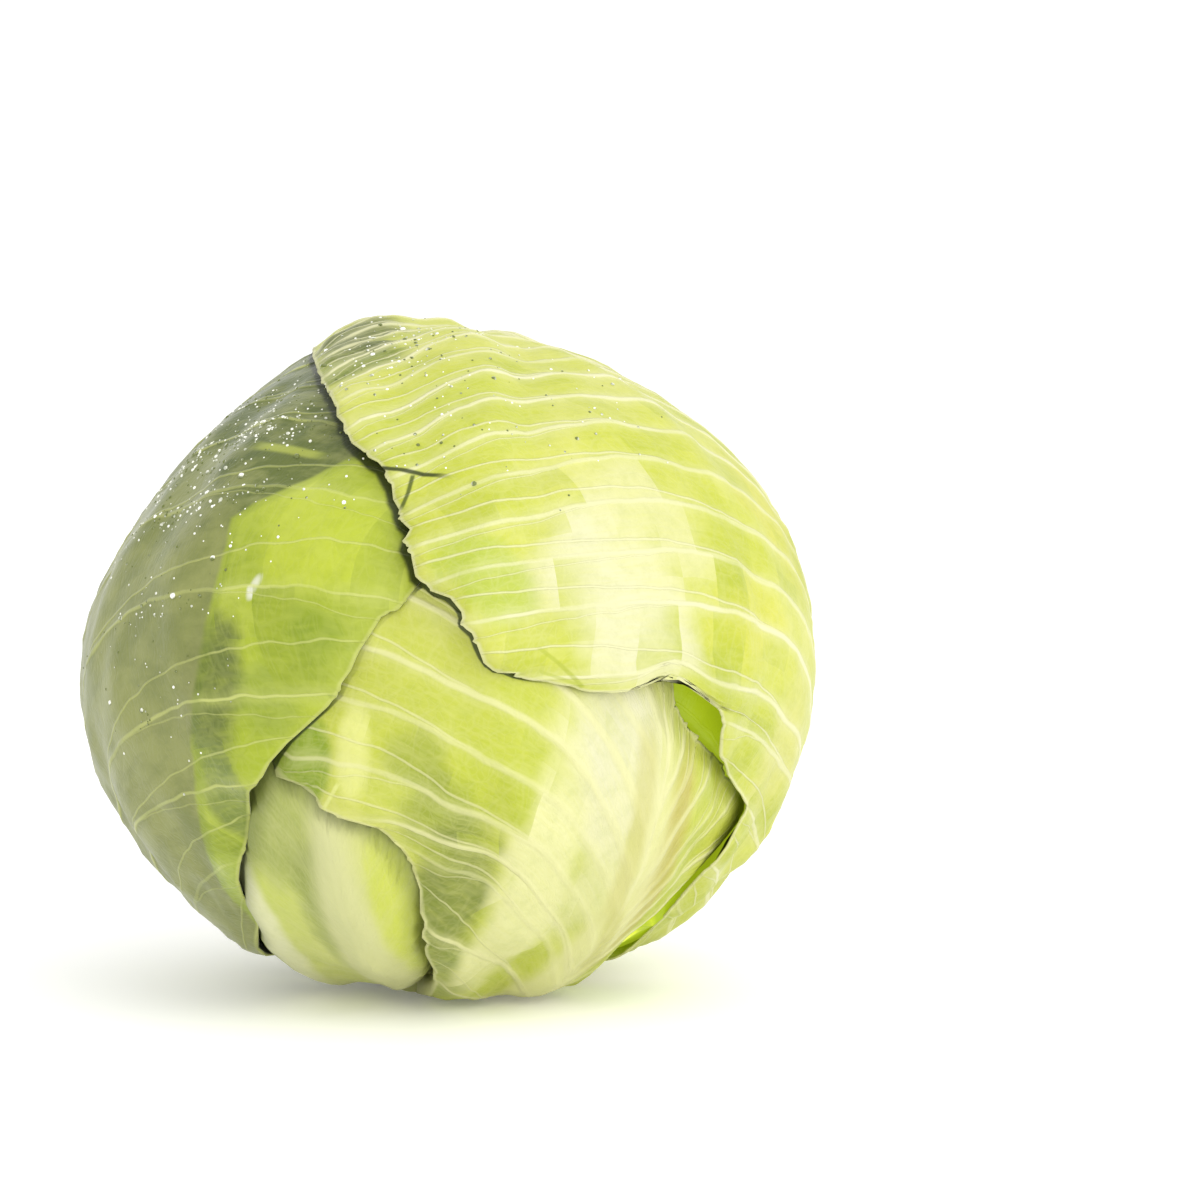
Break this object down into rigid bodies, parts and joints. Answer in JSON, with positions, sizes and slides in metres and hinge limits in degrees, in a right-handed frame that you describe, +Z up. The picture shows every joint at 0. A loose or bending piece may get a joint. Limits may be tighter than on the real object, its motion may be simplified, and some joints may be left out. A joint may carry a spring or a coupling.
{
  "type": "cabbage head",
  "caption": "Round white cabbage head standing on its cut stem, with broad waxy wrapper leaves lapped over a dense inner head.",
  "frame": {"origin": "centre of the stem's cut face, on which the head stands", "axes": "+Z up out of the resting surface, +X to the right seen from the front, -Y towards the viewer"},
  "size_m": [0.197, 0.1925, 0.1837],
  "materials": {
    "stem": "pale cut plant stem, dry and slightly rough",
    "inner_head": "packed pale inner leaves, smooth and slightly waxy",
    "leaf_1_under_right": "waxy cabbage leaf with pale veins",
    "leaf_2_under_left": "waxy cabbage leaf with pale veins",
    "leaf_3_front_inner": "waxy cabbage leaf with pale veins",
    "leaf_4_back_inner": "waxy cabbage leaf with pale veins",
    "leaf_5_front": "waxy cabbage leaf with pale veins",
    "leaf_6_back": "waxy cabbage leaf with pale veins",
    "leaf_7_left": "waxy cabbage leaf with pale veins",
    "leaf_8_right": "waxy cabbage leaf with pale veins"
  },
  "bodies": {
    "root": {"stem": "stem", "inner_head": "inner_head", "leaf_1_under_right": "leaf_1_under_right", "leaf_2_under_left": "leaf_2_under_left", "leaf_3_front_inner": "leaf_3_front_inner", "leaf_4_back_inner": "leaf_4_back_inner", "leaf_5_front": "leaf_5_front", "leaf_6_back": "leaf_6_back", "leaf_7_left": "leaf_7_left", "leaf_8_right": "leaf_8_right"}
  },
  "joints": []
}
